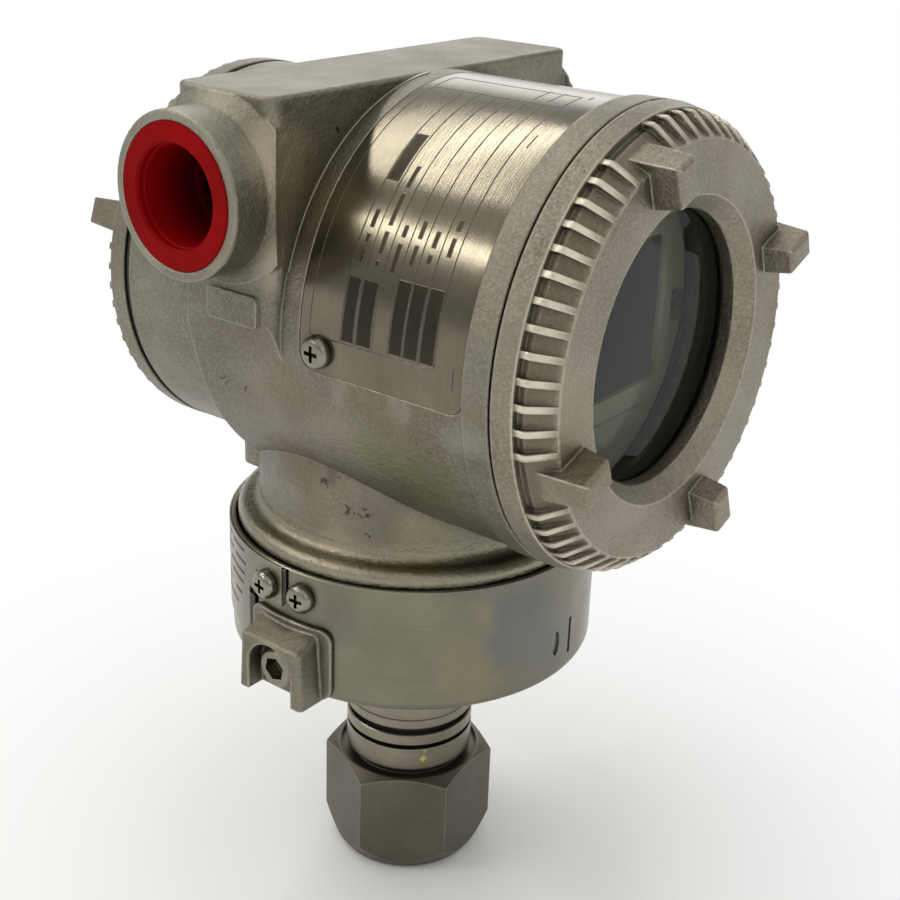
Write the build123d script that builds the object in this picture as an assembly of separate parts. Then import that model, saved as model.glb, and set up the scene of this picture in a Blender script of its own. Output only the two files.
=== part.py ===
from build123d import *
from math import cos, sin, tan, acos, radians
import os

# Pressure transmitter, stainless, in line type. Millimetres.
# Z is the stem axis and points up. The origin is the middle of the bottom face of the process
# connection. The covers turn about an axis along Y at height COVER_Z. The display cover is at -Y.

# Fits
SEAT = 0.03            # gap round a piece that is fixed in its seat
RUN = 0.05             # gap round a piece that turns or slides

# Process connection, a hexagon with a tapped port
HEX_R = 17.0           # over the corners, as a radius
HEX_TURN = 5.4         # degrees from X to the first corner
HEX_H = 21.5
PORT_R = 9.1
PORT_DEPTH = 16.0
SPIGOT_R = 11.2        # inner tube that carries the stem rings
SPIGOT_TOP = HEX_H + 12.1

# Stem with its two rings
STEM_R = 12.65
COLLAR_Z = (HEX_H + 0.8, HEX_H + 5.7)
RING_Z = (HEX_H + 6.7, HEX_H + 8.9)
STEM_Z = HEX_H + 10.3
CAPSULE_R = 10.0

# Sensor cup, the polished band below the housing
CUP_R = 35.0
CUP_Z = (HEX_H + 28.7, HEX_H + 53.0)
CUP_WALL = 0.75
CUP_FLOOR = 3.5
CUP_GAP = 0.45         # between the cup's wall and the housing's foot
SCREW_Z = CUP_Z[1] - 4.7
HUB_R = 14.0           # tube that the housing turns on
HUB_BORE = 11.95

# Lock guard and its set screw, on the cup
LOCK_Z = CUP_Z[0] + 5.8
LOCK_R = 3.7
LOCK_FRONT = -CUP_R - 4.0
GUARD_FRONT = -CUP_R - 5.3
GUARD_Z = (CUP_Z[0] + 0.4, LOCK_Z + 9.0)
GUARD_PAD = 19.0       # width of the flat pad on the cup
GUARD_SOFT = 0.9

# Housing: neck, front barrel, cast block and rear barrel
NECK_R = 29.6
FOOT_R = CUP_R - CUP_WALL - CUP_GAP
FOOT_Z = CUP_Z[0] + CUP_FLOOR + 0.5
FOOT_TOP = CUP_Z[1] + 2.9
WEB_Z = (CUP_Z[1] - 4.5, CUP_Z[1] + 3.5)
HUB_TOP = WEB_Z[1] + 2.8
NECK_VOID = NECK_R - 5.6
NECK_SEAL_Z = WEB_Z[0] + 2.5
SOCKET_Z = WEB_Z[0] + 2.6
SOCKET_L = 4.4
LEAD_Z = HUB_TOP + 1.2
BARREL_R = 38.9
COVER_Z = CUP_Z[1] + 5.6 + BARREL_R
FLANGE_R = BARREL_R + 0.6
FLANGE_Y = -39.8
FRONT_Y = -44.6
BLOCK_HALF = BARREL_R + 1.6
BLOCK_TOP = COVER_Z + BARREL_R
BLOCK_Y = (-2.4, 19.4)
BLOCK_CORNER = 2.4     # its upright corners
REAR_R = 35.4
REAR_Y = 38.9
SPINE_HALF = 20.0
SPINE_Y = 27.5
SPINE_Z = CUP_Z[1] + 8.0
BULKHEAD_Y = (-3.5, 0.0)

# Conduit entries
BOSS_R = 13.6
BOSS_Y = 9.4
BOSS_Z = BLOCK_TOP - 15.8
LEFT_X = -BLOCK_HALF - 9.6
RIGHT_X = BLOCK_HALF + 4.1
CONDUIT_R = 9.1
DUST_PLUG_R = 11.85
DUST_BORE_R = 8.3
DUST_DEPTH = 13.0

# Nameplate
PLATE_Y = (FLANGE_Y + 0.2, -6.6)
PLATE_T = 0.95
PLATE_TURN = (-6.0, 186.0)
PLATE_SCREW_Y = -10.5

# Front cover
SPIGOT_OUT = BARREL_R - 3.6   # threaded part of the cover, in the housing
SPIGOT_IN = SPIGOT_OUT - 3.8
SPIGOT_L = 10.0
FACE_GAP = 0.25
BAND_R = BARREL_R + 0.7
RIB_R = BARREL_R - 0.4
FACE_Y = FRONT_Y - 9.6
FACE_R = RIB_R - 3.3
GLASS_R = SPIGOT_IN - 1.45
WINDOW_R = GLASS_R - 6.85
BEVEL_R = WINDOW_R + 2.65
GLASS_T = 6.0
RIB_STEP = 6.0
RIB_WIDTH = 1.1
RIB_COUNT = 13         # ribs in each quarter
LUG_TURN = 20.7        # degrees to the first of four lugs
LUG_TIP = FACE_Y - 5.3
LUG_OUT = RIB_R - 1.7
LUG_LONG = 8.7
LUG_WIDE = 5.5

# Rear cover
REAR_SPIGOT_OUT = REAR_R - 3.1
REAR_SPIGOT_IN = REAR_SPIGOT_OUT - 2.8
REAR_SPIGOT_L = 9.5
REAR_CAVITY_R = REAR_SPIGOT_OUT - 0.9
REAR_GAP = 1.1
REAR_FACE_Y = REAR_Y + 6.6
REAR_LUG_TIP = REAR_FACE_Y + 5.7
REAR_LUG_TURN = -18.0

# Electronics
CAVITY_R = SPIGOT_OUT - 1.8
AMP_R = CAVITY_R - 2.7
AMP_Y = (FRONT_Y + 15.2, BULKHEAD_Y[0] - 2.5)
AMP_WALL = 1.4
PILLAR_R = AMP_R - 5.3
BOARD_R = AMP_R - AMP_WALL - 0.2
BOARD_T = 1.6
MAIN_BOARD_Y = AMP_Y[0] + 6.0
POWER_BOARD_Y = AMP_Y[1] - 8.8
DISPLAY_R = SPIGOT_IN - 1.5
DISPLAY_Y = FRONT_Y + 8.5
SCREEN = (DISPLAY_R * 2 / 3, DISPLAY_R * 0.45)   # half width, half height
DISPLAY_SCREW_X = (2.8 - DISPLAY_R, DISPLAY_R - 2.8)

# Terminal side
TERMINAL_R = REAR_CAVITY_R - 2.9
TERMINAL_T = 14.0
TERMINAL_STEP = 12.0
TERMINAL_X = [TERMINAL_STEP * k for k in (-1.5, -0.5, 0.5, 1.5)]
HOLDER_X = (8.5 - TERMINAL_R, TERMINAL_R - 8.5)
HOLDER_Z = COVER_Z - TERMINAL_R + 13.5

# Zero adjusting screw, on the side away from the plugged entry
ZERO_TURN = -30.0
ZERO_Y = -22.0
ZERO_SEAT = BARREL_R + 2.1
ZERO_ROOT = CAVITY_R - 3.5


def outline(*corners):
    """A closed face through (u, v) corners. A third number rounds that corner."""
    spots = []
    count = len(corners)
    for i, corner in enumerate(corners):
        p = Vector(corner[0], corner[1])
        if len(corner) == 2:
            spots.append((p, None, p))
            continue
        a = corners[i - 1]
        b = corners[(i + 1) % count]
        back = (Vector(a[0], a[1]) - p).normalized()
        ahead = (Vector(b[0], b[1]) - p).normalized()
        half = acos(max(-1.0, min(1.0, back.dot(ahead)))) / 2
        cut = corner[2] / tan(half)
        middle = (back + ahead).normalized()
        reach = corner[2] / sin(half) - corner[2]
        spots.append((p + back * cut, p + middle * reach, p + ahead * cut))
    edges = []
    for i, (start, mid, end) in enumerate(spots):
        if mid is not None:
            edges.append(ThreePointArc(start, mid, end))
        edges.append(Line(end, spots[(i + 1) % count][0]))
    return make_face(edges)


def turned(*corners):
    """A solid turned about Z from (radius, height) corners."""
    return revolve(Plane.XZ * outline(*corners), Axis.Z)


def covered(*corners, arc=360.0):
    """A solid turned about the cover axis from (radius, y) corners."""
    return Pos(0, 0, COVER_Z) * revolve(outline(*corners), Axis.Y, arc)


def at_angle(shape, degrees):
    """Turn a shape about the cover axis, from +X towards the top."""
    return Pos(0, 0, COVER_Z) * Rot(0, -degrees, 0) * Pos(0, 0, -COVER_Z) * shape


def block(x0, x1, y0, y1, z0, z1):
    return Pos((x0 + x1) / 2, (y0 + y1) / 2, (z0 + z1) / 2) * Box(x1 - x0, y1 - y0, z1 - z0)


def rod(start, way, radius, length):
    shape = Cylinder(radius, length, align=(Align.CENTER, Align.CENTER, Align.MIN))
    return Plane(origin=start, z_dir=way) * shape


def ring(y0, y1, inner, outer):
    return covered((inner, y0), (outer, y0), (outer, y1), (inner, y1))


def hexagon(start, way, across, length, turn=0.0):
    """A hexagonal bar; across is over its flats."""
    face = Rot(0, 0, turn) * RegularPolygon(across / 2, 6, major_radius=False)
    return Plane(origin=start, z_dir=way) * extrude(face, length)


def pan_screw(seat, way, head, height, shank, length):
    """A pan head screw with a cross recess. The seat is under the head, the way is outwards."""
    body = turned((0, -length), (shank - 0.2, -length), (shank, -length + 0.2), (shank, 0),
                  (head, 0), (head, height, height * 0.7), (0, height))
    arm = head * 0.52
    cross = block(-arm, arm, -head * 0.13, head * 0.13, height * 0.45, height + 1)
    body = body - cross - Rot(0, 0, 90) * cross
    return Plane(origin=seat, z_dir=way) * body


def polar(turn, radius):
    """A direction and a point about the cover axis."""
    way = (cos(radians(turn)), 0, sin(radians(turn)))
    return way, (radius * way[0], 0, COVER_Z + radius * way[2])


def shifted(point, y):
    return (point[0], y, point[2])


# Sensor body

def process_connection():
    blank = extrude(Rot(0, 0, HEX_TURN) * RegularPolygon(HEX_R, 6), HEX_H)
    shape = turned((0, 0), (HEX_R - 3.2, 0, 1.6), (HEX_R + 0.5, 5.6), (HEX_R + 0.5, HEX_H - 2.0),
                   (HEX_R - 2.6, HEX_H), (0, HEX_H))
    body = blank & shape
    body = body - turned((STEM_R - 1.4, HEX_H - 0.8), (STEM_R + 1.2, HEX_H - 0.8),
                         (STEM_R + 1.2, HEX_H + 1), (STEM_R - 1.4, HEX_H + 1))
    body += turned((0, HEX_H - 2), (SPIGOT_R, HEX_H - 2), (SPIGOT_R, SPIGOT_TOP), (0, SPIGOT_TOP))
    port = turned((0, -1), (PORT_R, -1), (PORT_R, PORT_DEPTH), (0, PORT_DEPTH + 2.5))
    return body - port - rod((0, 0, PORT_DEPTH), (0, 0, 1), 3.0, 40)


def stem_collar():
    inner = SPIGOT_R + SEAT
    return turned((inner, COLLAR_Z[0]), (STEM_R - 0.3, COLLAR_Z[0]), (STEM_R, COLLAR_Z[0] + 0.3),
                  (STEM_R, COLLAR_Z[1]), (inner, COLLAR_Z[1]))


def stem_ring():
    inner = SPIGOT_R + SEAT
    return turned((inner, RING_Z[0]), (STEM_R, RING_Z[0]), (STEM_R, RING_Z[1] - 0.2),
                  (STEM_R - 0.2, RING_Z[1]), (inner, RING_Z[1]))


def sensor_stem():
    inner = SPIGOT_R + SEAT
    top = CUP_Z[0]
    return turned((inner, STEM_Z), (STEM_R, STEM_Z, 0.3), (STEM_R, STEM_Z + 1.9),
                  (STEM_R - 0.25, STEM_Z + 2.1), (STEM_R - 0.25, top - SEAT),
                  (HUB_BORE - SEAT, top - SEAT), (HUB_BORE - SEAT, top + 4.5),
                  (CAPSULE_R, top + 4.5), (CAPSULE_R, SPIGOT_TOP + 0.3), (inner, SPIGOT_TOP + 0.3))


def capsule_parts():
    base = SPIGOT_TOP + 0.05
    reach = CAPSULE_R - SEAT
    diaphragm = rod((0, 0, base), (0, 0, 1), SPIGOT_R - 0.1, 0.2)
    low = base + 0.27
    high = CUP_Z[0] - 1.0
    capsule = rod((0, 0, low), (0, 0, 1), reach, high - low)
    header = turned((0, high + SEAT), (reach, high + SEAT), (reach, high + 2.5),
                    (reach - 1.5, high + 2.5), (reach - 1.5, high + 3.4), (0, high + 3.4))
    pins = []
    for k in range(6):
        a = radians(60 * k)
        spot = (5.2 * cos(a), 5.2 * sin(a), high + 3.4 + SEAT)
        pins.append(rod(spot, (0, 0, 1), 0.45, 3.2))
    lead = rod((0, 0, high + 3.4 + SEAT), (0, 0, 1), 2.0, SOCKET_Z - 0.6 - high - 3.4)
    return diaphragm, capsule, header, pins, lead


def sensor_cup():
    low, high = CUP_Z
    inside = CUP_R - CUP_WALL
    floor = low + CUP_FLOOR
    body = turned((HUB_BORE, low), (CUP_R, low, 2.0), (CUP_R, high - 0.2), (CUP_R - 0.2, high),
                  (inside, high), (inside, floor), (HUB_R, floor), (HUB_R, HUB_TOP),
                  (HUB_BORE, HUB_TOP))
    body -= turned((HUB_R - 0.8, WEB_Z[1] + 0.3), (HUB_R + 1, WEB_Z[1] + 0.3),
                   (HUB_R + 1, WEB_Z[1] + 1.9), (HUB_R - 0.8, WEB_Z[1] + 1.9))
    body -= turned((HUB_R - 1.2, NECK_SEAL_Z), (HUB_R + 1, NECK_SEAL_Z),
                   (HUB_R + 1, NECK_SEAL_Z + 2), (HUB_R - 1.2, NECK_SEAL_Z + 2))
    body -= rod((-CUP_R - 1, 0, LOCK_Z), (1, 0, 0), LOCK_R + SEAT, 4)
    for turn in (171.5, 184.9):
        a = radians(turn)
        spot = ((CUP_R + 1) * cos(a), (CUP_R + 1) * sin(a), SCREW_Z)
        body -= rod(spot, (-cos(a), -sin(a), 0), 1.35, 3)
    slot = block(CUP_R - 0.4, CUP_R + 1, -0.5, 0.5, low + 3.9, low + 11.4)
    body -= Rot(0, 0, -84.5) * slot
    mark = Pos(CUP_R + 1, 0, low + 7.7) * Rot(0, 90, 0) * extrude(Ellipse(2.5, 1.1), -1.4)
    return body - Rot(0, 0, -92.0) * mark


def guard_corner(spot, low):
    """Whether an edge's middle lies on the hood's two front uprights, its two top sides or its brow."""
    upright = spot.X < GUARD_FRONT + 0.1 and abs(spot.Y) > 6 and spot.Z > low + 1
    side = -CUP_R - 4.5 < spot.X < -CUP_R - 0.5 and abs(spot.Y) > 6 and spot.Z > low + 3
    brow = spot.X < GUARD_FRONT + 0.1 and abs(spot.Y) < 1 and spot.Z > low + 3
    return upright or side or brow


def lock_guard():
    low, high = GUARD_Z
    skin = CUP_R + SEAT
    pad = turned((skin, low + 0.4), (skin + 0.8, low + 0.4), (skin + 0.8, high), (skin, high))
    tab = Plane.YZ * (Pos(0, (high + low) / 2) * RectangleRounded(GUARD_PAD, high - low - 0.4, 2.4))
    pad = pad & Pos(-CUP_R - 10, 0, 0) * extrude(tab, 20)
    side = outline((GUARD_FRONT, low), (GUARD_FRONT, high - 3.4), (-CUP_R - 0.4, high - 1.4),
                   (-CUP_R + 2.5, high - 1.4), (-CUP_R + 2.5, low))
    hood = Pos(0, 8, 0) * extrude(Plane.XZ * side, 16)
    wedge = outline((-7.7, low - 1), (7.7, low - 1), (6.8, high - 0.5), (-6.8, high - 0.5))
    hood = hood & Pos(-CUP_R - 10, 0, 0) * extrude(Plane.YZ * wedge, 20)
    hood = fillet([e for e in hood.edges() if guard_corner(e.center(), low)], GUARD_SOFT)
    hood = hood - rod((0, 0, 0), (0, 0, 1), skin, 100)
    body = hood + pad
    pocket = rod((GUARD_FRONT - 1, 0, LOCK_Z), (1, 0, 0), 5.2, 4.6)
    pocket += block(GUARD_FRONT - 1, GUARD_FRONT + 3.6, -5.2, 5.2, low - 1, LOCK_Z)
    body -= pocket
    return body - rod((GUARD_FRONT - 1, 0, LOCK_Z), (1, 0, 0), LOCK_R + SEAT, 10)


def lock_screw():
    tip = -FOOT_R - 0.12
    body = rod((LOCK_FRONT, 0, LOCK_Z), (1, 0, 0), LOCK_R, tip - LOCK_FRONT)
    body = chamfer(body.edges().sort_by(Axis.X)[:1], 0.5)
    return body - hexagon((LOCK_FRONT - 1, 0, LOCK_Z), (1, 0, 0), 4.0, 3.6, 12)


def tag_plate():
    skin = CUP_R + SEAT
    low, high = CUP_Z[0] + 6.3, CUP_Z[1] - 0.2
    full = turned((skin, low), (skin + 0.4, low), (skin + 0.4, high), (skin, high))
    wide = full & wedge_about_z(70.0, 161.3)
    tab = full & wedge_about_z(161.2, 177.6) & block(-60, 60, -60, 60, SCREW_Z - 3.2, high + 5)
    plate = wide + tab
    a = radians(171.5)
    far = CUP_R + 5
    hole = rod((far * cos(a), far * sin(a), SCREW_Z), (-cos(a), -sin(a), 0), 1.4, 8)
    return plate - hole


def wedge_about_z(start, end):
    """A pie slice about Z, tall enough for the whole object."""
    far = 60.0
    corners = [(0, 0)]
    steps = max(2, int((end - start) / 30) + 1)
    for k in range(steps + 1):
        a = radians(start + (end - start) * k / steps)
        corners.append((far * cos(a), far * sin(a)))
    return extrude(make_face(Polyline(*corners, close=True)), 200)


def band_screws():
    screws = []
    for turn, lift in ((171.5, SEAT + 0.43), (184.9, SEAT)):
        a = radians(turn)
        r = CUP_R + lift
        seat = (r * cos(a), r * sin(a), SCREW_Z)
        screws.append(pan_screw(seat, (cos(a), sin(a), 0), 2.7, 1.9, 1.3, r - FOOT_R - 0.15))
    return screws


def hub_rings():
    clip = turned((HUB_R - 0.75, WEB_Z[1] + 0.35), (HUB_R + 3, WEB_Z[1] + 0.35),
                  (HUB_R + 3, WEB_Z[1] + 1.85), (HUB_R - 0.75, WEB_Z[1] + 1.85))
    clip -= block(-2, 2, -25, -10, WEB_Z[1], WEB_Z[1] + 3)
    low, high = NECK_SEAL_Z + 0.05, NECK_SEAL_Z + 1.95
    seal = turned((HUB_R - 1.15, low, 0.4), (HUB_R - 0.02, low, 0.4),
                  (HUB_R - 0.02, high, 0.4), (HUB_R - 1.15, high, 0.4))
    return clip, seal


# Housing

def boss(face, way, run):
    """A conduit boss that flares over a run on to the block; way is -1 to the left and 1 to the right."""
    reach = abs(face)
    root = BLOCK_HALF
    wide = BOSS_R + 2.7
    middle = (BOSS_R + 0.7, root + 1.2)
    curve = [Line((0, root - 4), (wide, root - 4)), Line((wide, root - 4), (wide, root - 0.2)),
             ThreePointArc((wide, root - 0.2), middle, (BOSS_R, root + run)),
             Line((BOSS_R, root + run), (0, root + run)), Line((0, root + run), (0, root - 4))]
    straight = outline((0, 10), (BOSS_R, 10), (BOSS_R, reach, 0.5), (0, reach))
    place = Plane(origin=(0, BOSS_Y, BOSS_Z), x_dir=(0, 1, 0), z_dir=(way, 0, 0))
    long = place * revolve(Plane.XZ * straight, Axis.Z)
    foot = place * revolve(Plane.XZ * make_face(curve), Axis.Z)
    foot = foot & block(-60, 60, BLOCK_Y[0] - 4, BLOCK_Y[1] - 0.4, COVER_Z, BLOCK_TOP - 0.5)
    front = BLOCK_Y[0]
    corners = [(0, front), (way * (root - 1), front), (way * (root + 3.4), front - 4.0), (0, front - 4.0)]
    trim = Pos(0, 0, COVER_Z) * extrude(make_face(Polyline(*corners, close=True)), 60)
    return (long + foot) - trim


def housing_outside():
    barrel = covered((0, FRONT_Y), (FLANGE_R, FRONT_Y, 0.4), (FLANGE_R, FLANGE_Y),
                     (BARREL_R, FLANGE_Y), (BARREL_R, BLOCK_Y[1], 1.3),
                     (REAR_R, BLOCK_Y[1], 2.1), (REAR_R, REAR_Y, 0.4), (0, REAR_Y))
    half = BLOCK_HALF
    low = BARREL_R - 2.4
    face = outline((-low, COVER_Z - 12), (low, COVER_Z - 12), (half, COVER_Z + 2),
                   (half, BLOCK_TOP), (-half, BLOCK_TOP), (-half, COVER_Z + 2))
    cast = Pos(0, BLOCK_Y[1], 0) * extrude(Plane.XZ * face, BLOCK_Y[1] - BLOCK_Y[0])
    upright = [e for e in cast.edges() if abs(e.center().X) > half - 0.1 and e.center().Z < BLOCK_TOP - 1
               and e.length > 20 and abs((e @ 1).Z - (e @ 0).Z) > 20]
    cast = fillet(upright, BLOCK_CORNER)
    cast = fillet(cast.faces().sort_by(Axis.Z)[-1].edges(), 0.7)
    neck = turned((0, FOOT_Z), (FOOT_R, FOOT_Z, 0.3), (FOOT_R, FOOT_TOP, 2.0),
                  (NECK_R, FOOT_TOP, 1.9), (NECK_R, COVER_Z - 12), (0, COVER_Z - 12))
    spine = block(-SPINE_HALF, SPINE_HALF, 0, SPINE_Y, SPINE_Z, COVER_Z - 10)
    spine = fillet(spine.edges().filter_by(Axis.Z).sort_by(Axis.Y)[-2:], 3.0)
    pad = Plane.YZ * (Pos(7.0, COVER_Z + 3.6) * RectangleRounded(11.4, 5.4, 0.8))
    pad = Pos(-half - 0.4, 0, 0) * extrude(pad, 4)
    way, spot = polar(ZERO_TURN, ZERO_ROOT)
    zero = rod(shifted(spot, ZERO_Y), way, 6.0, ZERO_SEAT - ZERO_ROOT)
    return barrel + cast + boss(LEFT_X, -1, 4.4) + boss(RIGHT_X, 1, 3.5) + neck + spine + pad + zero


def housing():
    body = housing_outside()
    bore = SPIGOT_OUT + RUN
    deep = FRONT_Y - FACE_GAP + SPIGOT_L + 0.4
    body -= covered((0, FRONT_Y - 1), (bore + 0.6, FRONT_Y - 1), (bore + 0.6, FRONT_Y), (bore, FRONT_Y + 0.6),
                    (bore, deep), (CAVITY_R, deep), (CAVITY_R, BULKHEAD_Y[0]), (0, BULKHEAD_Y[0]))
    bore = REAR_SPIGOT_OUT + RUN
    deep = REAR_Y + REAR_GAP - REAR_SPIGOT_L - 0.4
    body -= covered((0, BULKHEAD_Y[1]), (REAR_CAVITY_R, BULKHEAD_Y[1]), (REAR_CAVITY_R, deep), (bore, deep),
                    (bore, REAR_Y - 0.5), (bore + 0.5, REAR_Y), (bore + 0.5, REAR_Y + 1), (0, REAR_Y + 1))
    body += rod((0, BULKHEAD_Y[1] - 1, COVER_Z + 19), (0, 1, 0), 5.0, 7)
    body -= turned((0, FOOT_Z - 1), (FOOT_R - 3.6, FOOT_Z - 1), (FOOT_R - 3.6, WEB_Z[0]), (0, WEB_Z[0]))
    body -= rod((0, 0, WEB_Z[0] - 1), (0, 0, 1), HUB_R + RUN, 20)
    void = rod((0, 0, WEB_Z[1]), (0, 0, 1), NECK_VOID, LEAD_Z + 2.5 - WEB_Z[1])
    tall = rod((0, 0, WEB_Z[1]), (0, 0, 1), NECK_VOID, COVER_Z - 15 - WEB_Z[1])
    void += tall & block(-40, 40, -40, BULKHEAD_Y[0], WEB_Z[0], COVER_Z)
    body -= void
    sink = 1.0
    body -= rod((LEFT_X, BOSS_Y, BOSS_Z), (1, 0, 0), DUST_PLUG_R + 0.1, sink)
    body -= rod((LEFT_X - 1, BOSS_Y, BOSS_Z), (1, 0, 0), CONDUIT_R, 35)
    body -= rod((RIGHT_X + 1, BOSS_Y, BOSS_Z), (-1, 0, 0), CONDUIT_R, 30)
    body -= plate_blank(0.15)
    for turn in (180.6, -0.6):
        way, spot = polar(turn, BARREL_R - 3.4)
        body -= rod(shifted(spot, PLATE_SCREW_Y), way, 1.3, 5)
    way, spot = polar(ZERO_TURN, ZERO_ROOT)
    spot = shifted(spot, ZERO_Y)
    body -= rod(spot, way, 2.0 + RUN, 20)
    _, spot = polar(ZERO_TURN, ZERO_SEAT - 2.6)
    body -= rod(shifted(spot, ZERO_Y), way, 4.0 + RUN, 5)
    for turn in (90, 210, 330):
        way, spot = polar(turn, PILLAR_R)
        body -= rod(shifted(spot, BULKHEAD_Y[0] - 1), (0, 1, 0), 1.5 + SEAT, 3.2)
    body -= rod((0, BULKHEAD_Y[0] - 1, COVER_Z - 10), (0, 1, 0), 5.0 + SEAT, 6)
    body -= rod((0, BULKHEAD_Y[1] + 7, COVER_Z + 19), (0, -1, 0), 2.0 + SEAT, 7.5)
    for x in HOLDER_X:
        body -= rod((x, BULKHEAD_Y[1] + 1, HOLDER_Z), (0, -1, 0), 1.5 + SEAT, 3.6)
    return body


def plate_blank(extra):
    """The nameplate with some room added round its edges."""
    inner = BARREL_R - PLATE_T - (SEAT if extra else 0)
    outer = BARREL_R + (1 if extra else -0.03)
    span = PLATE_TURN[1] - PLATE_TURN[0]
    shape = covered((inner, PLATE_Y[0] - extra), (outer, PLATE_Y[0] - extra),
                    (outer, PLATE_Y[1] + extra), (inner, PLATE_Y[1] + extra), arc=span)
    shape = at_angle(shape, PLATE_TURN[1])
    corners = [e for e in shape.edges() if abs(e.length - (outer - inner)) < 0.01]
    return fillet(corners, 3.0)


def nameplate():
    plate = plate_blank(0)
    for turn in (180.6, -0.6):
        way, spot = polar(turn, BARREL_R - 4)
        plate -= rod(shifted(spot, PLATE_SCREW_Y), way, 1.5, 6)
    return plate


def nameplate_screws():
    screws = []
    for turn in (180.6, -0.6):
        way, spot = polar(turn, BARREL_R)
        screws.append(pan_screw(shifted(spot, PLATE_SCREW_Y), way, 2.75, 1.8, 1.27, 3.1))
    return screws


# Amplifier and display

def amplifier_case():
    front, back = AMP_Y
    body = covered((0, front), (AMP_R, front, 1.0), (AMP_R, back), (AMP_R - AMP_WALL, back),
                   (AMP_R - AMP_WALL, front + 1.6), (0, front + 1.6))
    for turn in (90, 210, 330):
        way, spot = polar(turn, PILLAR_R)
        body += rod(shifted(spot, front + 1), (0, 1, 0), 3.4, BULKHEAD_Y[0] - SEAT - front - 1)
        body -= rod(shifted(spot, front - 1), (0, 1, 0), 1.5 + SEAT, 40)
        body -= rod(shifted(spot, front - 1), (0, 1, 0), 3.0, 2.4)
    for x in DISPLAY_SCREW_X:
        body -= rod((x, front - 1, COVER_Z - 1.5), (0, 1, 0), 1.25 + SEAT, 4)
    return body


def amplifier_screws():
    screws = []
    for turn in (90, 210, 330):
        way, spot = polar(turn, PILLAR_R)
        length = BULKHEAD_Y[0] + 2 - AMP_Y[0] - 1.4
        screws.append(pan_screw(shifted(spot, AMP_Y[0] + 1.4 - SEAT), (0, -1, 0), 2.7, 1.3, 1.5, length))
    return screws


def board(y):
    disc = rod((0, y, COVER_Z), (0, 1, 0), BOARD_R, BOARD_T)
    for turn in (90, 210, 330):
        way, spot = polar(turn, PILLAR_R)
        disc -= rod(shifted(spot, y - 1), (0, 1, 0), 3.4 + SEAT, 4)
        cut = block(PILLAR_R, BOARD_R + 2, y - 1, y + 3, COVER_Z - 3.43, COVER_Z + 3.43)
        disc -= at_angle(cut, turn)
    return disc


def board_parts():
    chips = []
    for x, z, w, h in ((-8, 6, 12, 12), (9, 9, 7, 9), (10, -8, 9, 6), (-10, -11, 6, 8), (0, -16, 5, 3)):
        chips.append(block(x - w / 2, x + w / 2, MAIN_BOARD_Y - 1.8, MAIN_BOARD_Y,
                           COVER_Z + z - h / 2, COVER_Z + z + h / 2))
    for x, z in ((-12, 9), (-12, -5), (13, -6)):
        spot = (x, POWER_BOARD_Y + BOARD_T, COVER_Z + z)
        chips.append(rod(spot, (0, 1, 0), 3.5, 5.5))
    return chips


def board_connector():
    return block(14, 20, MAIN_BOARD_Y + BOARD_T, POWER_BOARD_Y, COVER_Z + 2, COVER_Z + 14)


def display_case():
    front = DISPLAY_Y + 0.8
    back = AMP_Y[0] - SEAT
    body = covered((0, front), (DISPLAY_R, front, 0.8), (DISPLAY_R, back), (0, back))
    w, h = SCREEN
    frame = Plane.XZ * (Pos(0, COVER_Z) * RectangleRounded(2 * w + 7.5, 2 * h + 7.5, 3.5))
    body += Pos(0, front + 1, 0) * extrude(frame, 1.8)
    strip = Plane.XZ * (Pos(0, COVER_Z - h - 7.2) * RectangleRounded(2 * w - 6, 5.0, 1.0))
    body += Pos(0, front + 1, 0) * extrude(strip, 1.5)
    hole = Plane.XZ * (Pos(0, COVER_Z) * RectangleRounded(2 * w, 2 * h, 1.8))
    body -= Pos(0, front + 2.2, 0) * extrude(hole, 5)
    body -= block(-w - 2, w + 2, front + 2.2, back + 1, COVER_Z - h - 3.5, COVER_Z + h + 3.5)
    for x in DISPLAY_SCREW_X:
        spot = (x, front - 1, COVER_Z - 1.5)
        body -= rod(spot, (0, 1, 0), 3.3, 3.4)
        body -= rod(spot, (0, 1, 0), 1.25 + SEAT, 30)
    return body


def display_screen():
    front = DISPLAY_Y + 0.8
    w, h = SCREEN
    face = Plane.XZ * (Pos(0, COVER_Z) * RectangleRounded(2 * w - 0.1, 2 * h - 0.1, 1.7))
    top = Pos(0, front + 2.5, 0) * extrude(face, 2.5)
    base = block(-w - 1.5, w + 1.5, front + 2.2 + SEAT, front + 3.4, COVER_Z - h - 2.5, COVER_Z + h + 2.5)
    return top + base


def display_board():
    front = DISPLAY_Y + 0.8
    w, h = SCREEN[0] + 1.9, SCREEN[1] + 3.4
    return block(-w, w, front + 3.45, AMP_Y[0] - 0.1, COVER_Z - h, COVER_Z + h)


def display_screws():
    screws = []
    for x in DISPLAY_SCREW_X:
        seat = (x, DISPLAY_Y + 0.8 + 2.4 - SEAT, COVER_Z - 1.5)
        length = AMP_Y[0] + 1.3 - seat[1]
        screws.append(pan_screw(seat, (0, -1, 0), 2.4, 1.6, 1.25, length))
    return screws


def lead_socket():
    return rod((0, 0, SOCKET_Z), (0, 0, 1), 4.0, SOCKET_L)


def amplifier_lead():
    start = SOCKET_Z + SOCKET_L
    top = COVER_Z - AMP_R - 0.1
    path = FilletPolyline((0, 0, start), (0, 0, LEAD_Z), (0, -14, LEAD_Z), (0, -14, top), radius=2.4)
    return sweep(Plane(origin=(0, 0, start), z_dir=(0, 0, 1)) * Circle(1.0), path)


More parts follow.
